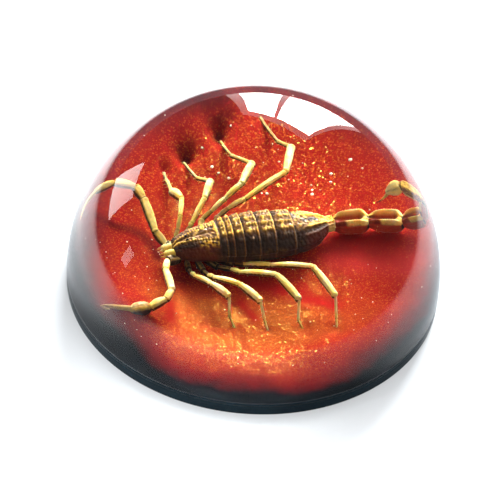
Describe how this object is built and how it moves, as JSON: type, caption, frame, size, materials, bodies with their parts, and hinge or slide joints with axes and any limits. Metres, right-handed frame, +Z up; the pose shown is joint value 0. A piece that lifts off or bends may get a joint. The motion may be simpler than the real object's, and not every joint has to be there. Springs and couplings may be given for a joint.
{
  "type": "scorpion in resin dome",
  "caption": "Clear resin half-dome paperweight with a dried golden scorpion sealed over a red-orange glitter layer and a flat black base.",
  "frame": {"origin": "centre of the flat underside", "axes": "+Z up out of the dome; the scorpion's head points to -X, its tail to +X, and its right side to +Y"},
  "size_m": [0.08, 0.08, 0.042],
  "materials": {
    "black_base": "polished opaque black resin",
    "glitter_layer": "red-orange resin full of fine gold glitter",
    "clear_resin": "clear cast resin, polished, see-through",
    "scorpion": "dry golden-brown cuticle with a slight sheen"
  },
  "bodies": {
    "root": {"black_base": "black_base", "glitter_layer": "glitter_layer", "clear_dome_lower": "clear_resin", "clear_dome_upper": "clear_resin", "scorpion": "scorpion"}
  },
  "joints": []
}
